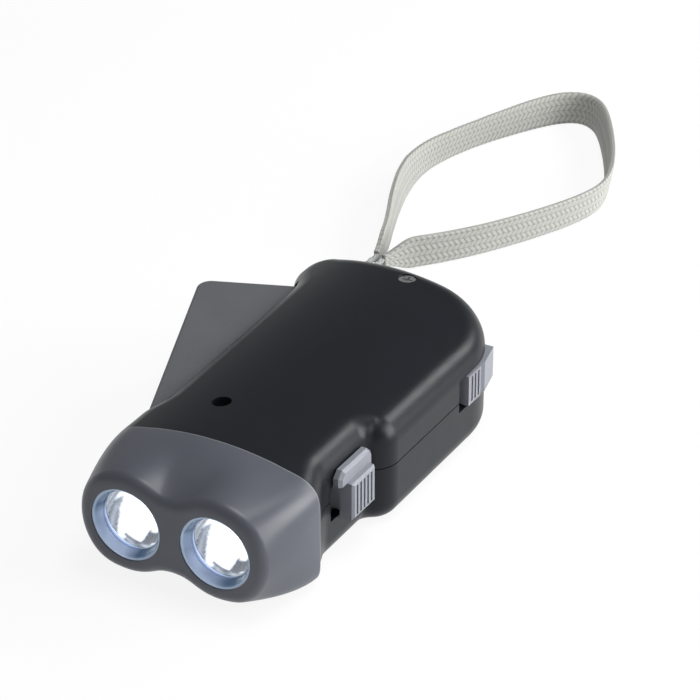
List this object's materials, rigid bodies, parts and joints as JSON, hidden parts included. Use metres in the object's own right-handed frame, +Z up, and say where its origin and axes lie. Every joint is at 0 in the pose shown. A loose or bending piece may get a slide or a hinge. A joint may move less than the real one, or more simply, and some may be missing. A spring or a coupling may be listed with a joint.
{
  "type": "hand-squeezed dynamo torch",
  "caption": "Hand-squeezed dynamo torch with a crowned casing, a folding squeeze lever, twin lamps, two thumb sliders and a flat wrist strap.",
  "frame": {"origin": "centre of the flat underside, below the lamp axes' mid plane", "axes": "+Z up, the beam points towards -Y, the thumb sliders are on +X and the squeeze lever folds out on -X"},
  "size_m": [0.0756, 0.2473, 0.028],
  "materials": {
    "casing_black": "satin, fine spark-eroded",
    "head_grey": "satin",
    "lever_grey": "satin, fine grain",
    "slider_grey": "semi-gloss",
    "lens_clear": "clear moulded plastic",
    "reflector_chrome": "vacuum metallised",
    "led_white": "clear epoxy, lit",
    "board_green": "solder mask",
    "switch_steel": "pressed shell",
    "steel": "bright",
    "battery_sleeve": "shrunk sleeve",
    "gear_white": "natural",
    "magnet_dark": "sintered",
    "core_steel": "laminated",
    "copper": "enamelled copper wire",
    "bobbin_white": "natural",
    "strap_grey": "braided"
  },
  "bodies": {
    "casing": {"top_housing": "casing_black", "bottom_housing": "casing_black", "head_shell": "head_grey", "left_lens": "lens_clear", "right_lens": "lens_clear", "left_reflector": "reflector_chrome", "right_reflector": "reflector_chrome", "left_led": "led_white", "right_led": "led_white", "lamp_board": "board_green", "main_board": "board_green", "slide_switch": "switch_steel", "battery_pack": "battery_sleeve", "battery_contacts": "steel", "housing_screws": "steel", "lever_pivot_pin": "steel", "return_spring": "steel", "first_gear_axle": "steel", "second_gear_axle": "steel", "rotor_axle": "steel", "stator_core": "core_steel", "coil_bobbin": "bobbin_white", "coil_winding": "copper", "strap_pin": "steel", "strap_cord": "strap_grey", "wrist_strap": "strap_grey"},
    "lever": {"squeeze_lever": "lever_grey"},
    "first_gear": {"first_gear": "gear_white"},
    "second_gear": {"second_gear": "gear_white"},
    "rotor": {"rotor_hub": "gear_white", "ring_magnet": "magnet_dark"},
    "switch": {"switch_knob": "slider_grey"},
    "lock": {"lock_slider": "slider_grey"}
  },
  "joints": [
    {"name": "lever_hinge", "type": "hinge", "parent": "casing", "child": "lever", "pos_m": [-0.018, -0.019, 0.014], "axis": [0, 0, -1], "range_deg": [0, 21.6], "stiffness_Nm_per_rad": 0.5, "springref_deg": -28.65, "deforming": ["return_spring"]},
    {"name": "first_gear_spin", "type": "hinge", "parent": "casing", "child": "first_gear", "pos_m": [-0.002, 0.01241, 0.014], "axis": [0, 0, -1], "range_deg": [-136.8, 0]},
    {"name": "second_gear_spin", "type": "hinge", "parent": "casing", "child": "second_gear", "pos_m": [0.01131, 0.01495, 0.014], "axis": [0, 0, -1], "range_deg": [0, 478.8]},
    {"name": "rotor_spin", "type": "hinge", "parent": "casing", "child": "rotor", "pos_m": [0.011, 0.028, 0.014], "axis": [0, 0, -1], "range_deg": [-1596, 0]},
    {"name": "switch_slide", "type": "slide", "parent": "casing", "child": "switch", "axis": [0, -1, 0], "range_m": [0, 0.002]},
    {"name": "lock_slide", "type": "slide", "parent": "casing", "child": "lock", "axis": [0, -1, 0], "range_m": [0, 0.003]}
  ],
  "couplings": [
    {"joint": "first_gear_spin", "follows": "lever_hinge", "ratio": -6.3333},
    {"joint": "second_gear_spin", "follows": "lever_hinge", "ratio": 22.167},
    {"joint": "rotor_spin", "follows": "lever_hinge", "ratio": -73.889}
  ]
}
